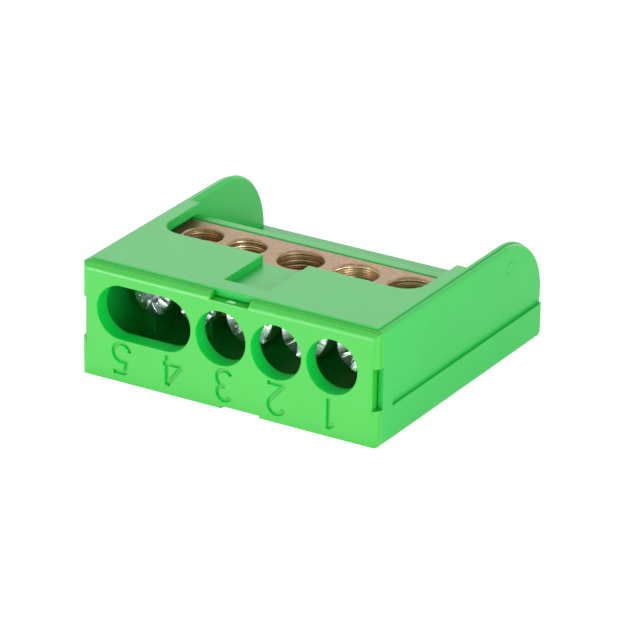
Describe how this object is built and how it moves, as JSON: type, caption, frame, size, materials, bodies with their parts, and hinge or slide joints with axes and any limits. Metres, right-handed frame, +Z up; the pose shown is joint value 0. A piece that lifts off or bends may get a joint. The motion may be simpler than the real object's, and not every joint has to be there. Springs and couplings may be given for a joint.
{
  "type": "earth terminal bar",
  "caption": "Insulated earth terminal block: green moulded housing with a brass bar, upright wire bores, and clamp screws reached through holes in its front cap.",
  "frame": {"origin": "centre of the face that the block lies on", "axes": "+Z up from that face, +X to the right across the row of poles, +Y from the front cap to the ears at the back"},
  "size_m": [0.04, 0.0392, 0.0144],
  "materials": {
    "green_plastic": "satin moulded",
    "brass": "machined",
    "plated_steel": "zinc plated"
  },
  "bodies": {
    "block": {"housing": "green_plastic", "front_cap": "green_plastic", "terminal_bar": "brass"},
    "screw_1": {"clamp_screw_1": "plated_steel"},
    "screw_2": {"clamp_screw_2": "plated_steel"},
    "screw_3": {"clamp_screw_3": "plated_steel"},
    "screw_4": {"clamp_screw_4": "plated_steel"},
    "screw_5": {"clamp_screw_5": "plated_steel"}
  },
  "joints": [
    {"name": "screw_1_travel", "type": "slide", "parent": "block", "child": "screw_1", "axis": [0, 1, 0], "range_m": [0, 0.0036]},
    {"name": "screw_2_travel", "type": "slide", "parent": "block", "child": "screw_2", "axis": [0, 1, 0], "range_m": [0, 0.0036]},
    {"name": "screw_3_travel", "type": "slide", "parent": "block", "child": "screw_3", "axis": [0, 1, 0], "range_m": [0, 0.0036]},
    {"name": "screw_4_travel", "type": "slide", "parent": "block", "child": "screw_4", "axis": [0, 1, 0], "range_m": [0, 0.0032]},
    {"name": "screw_5_travel", "type": "slide", "parent": "block", "child": "screw_5", "axis": [0, 1, 0], "range_m": [0, 0.0032]}
  ]
}
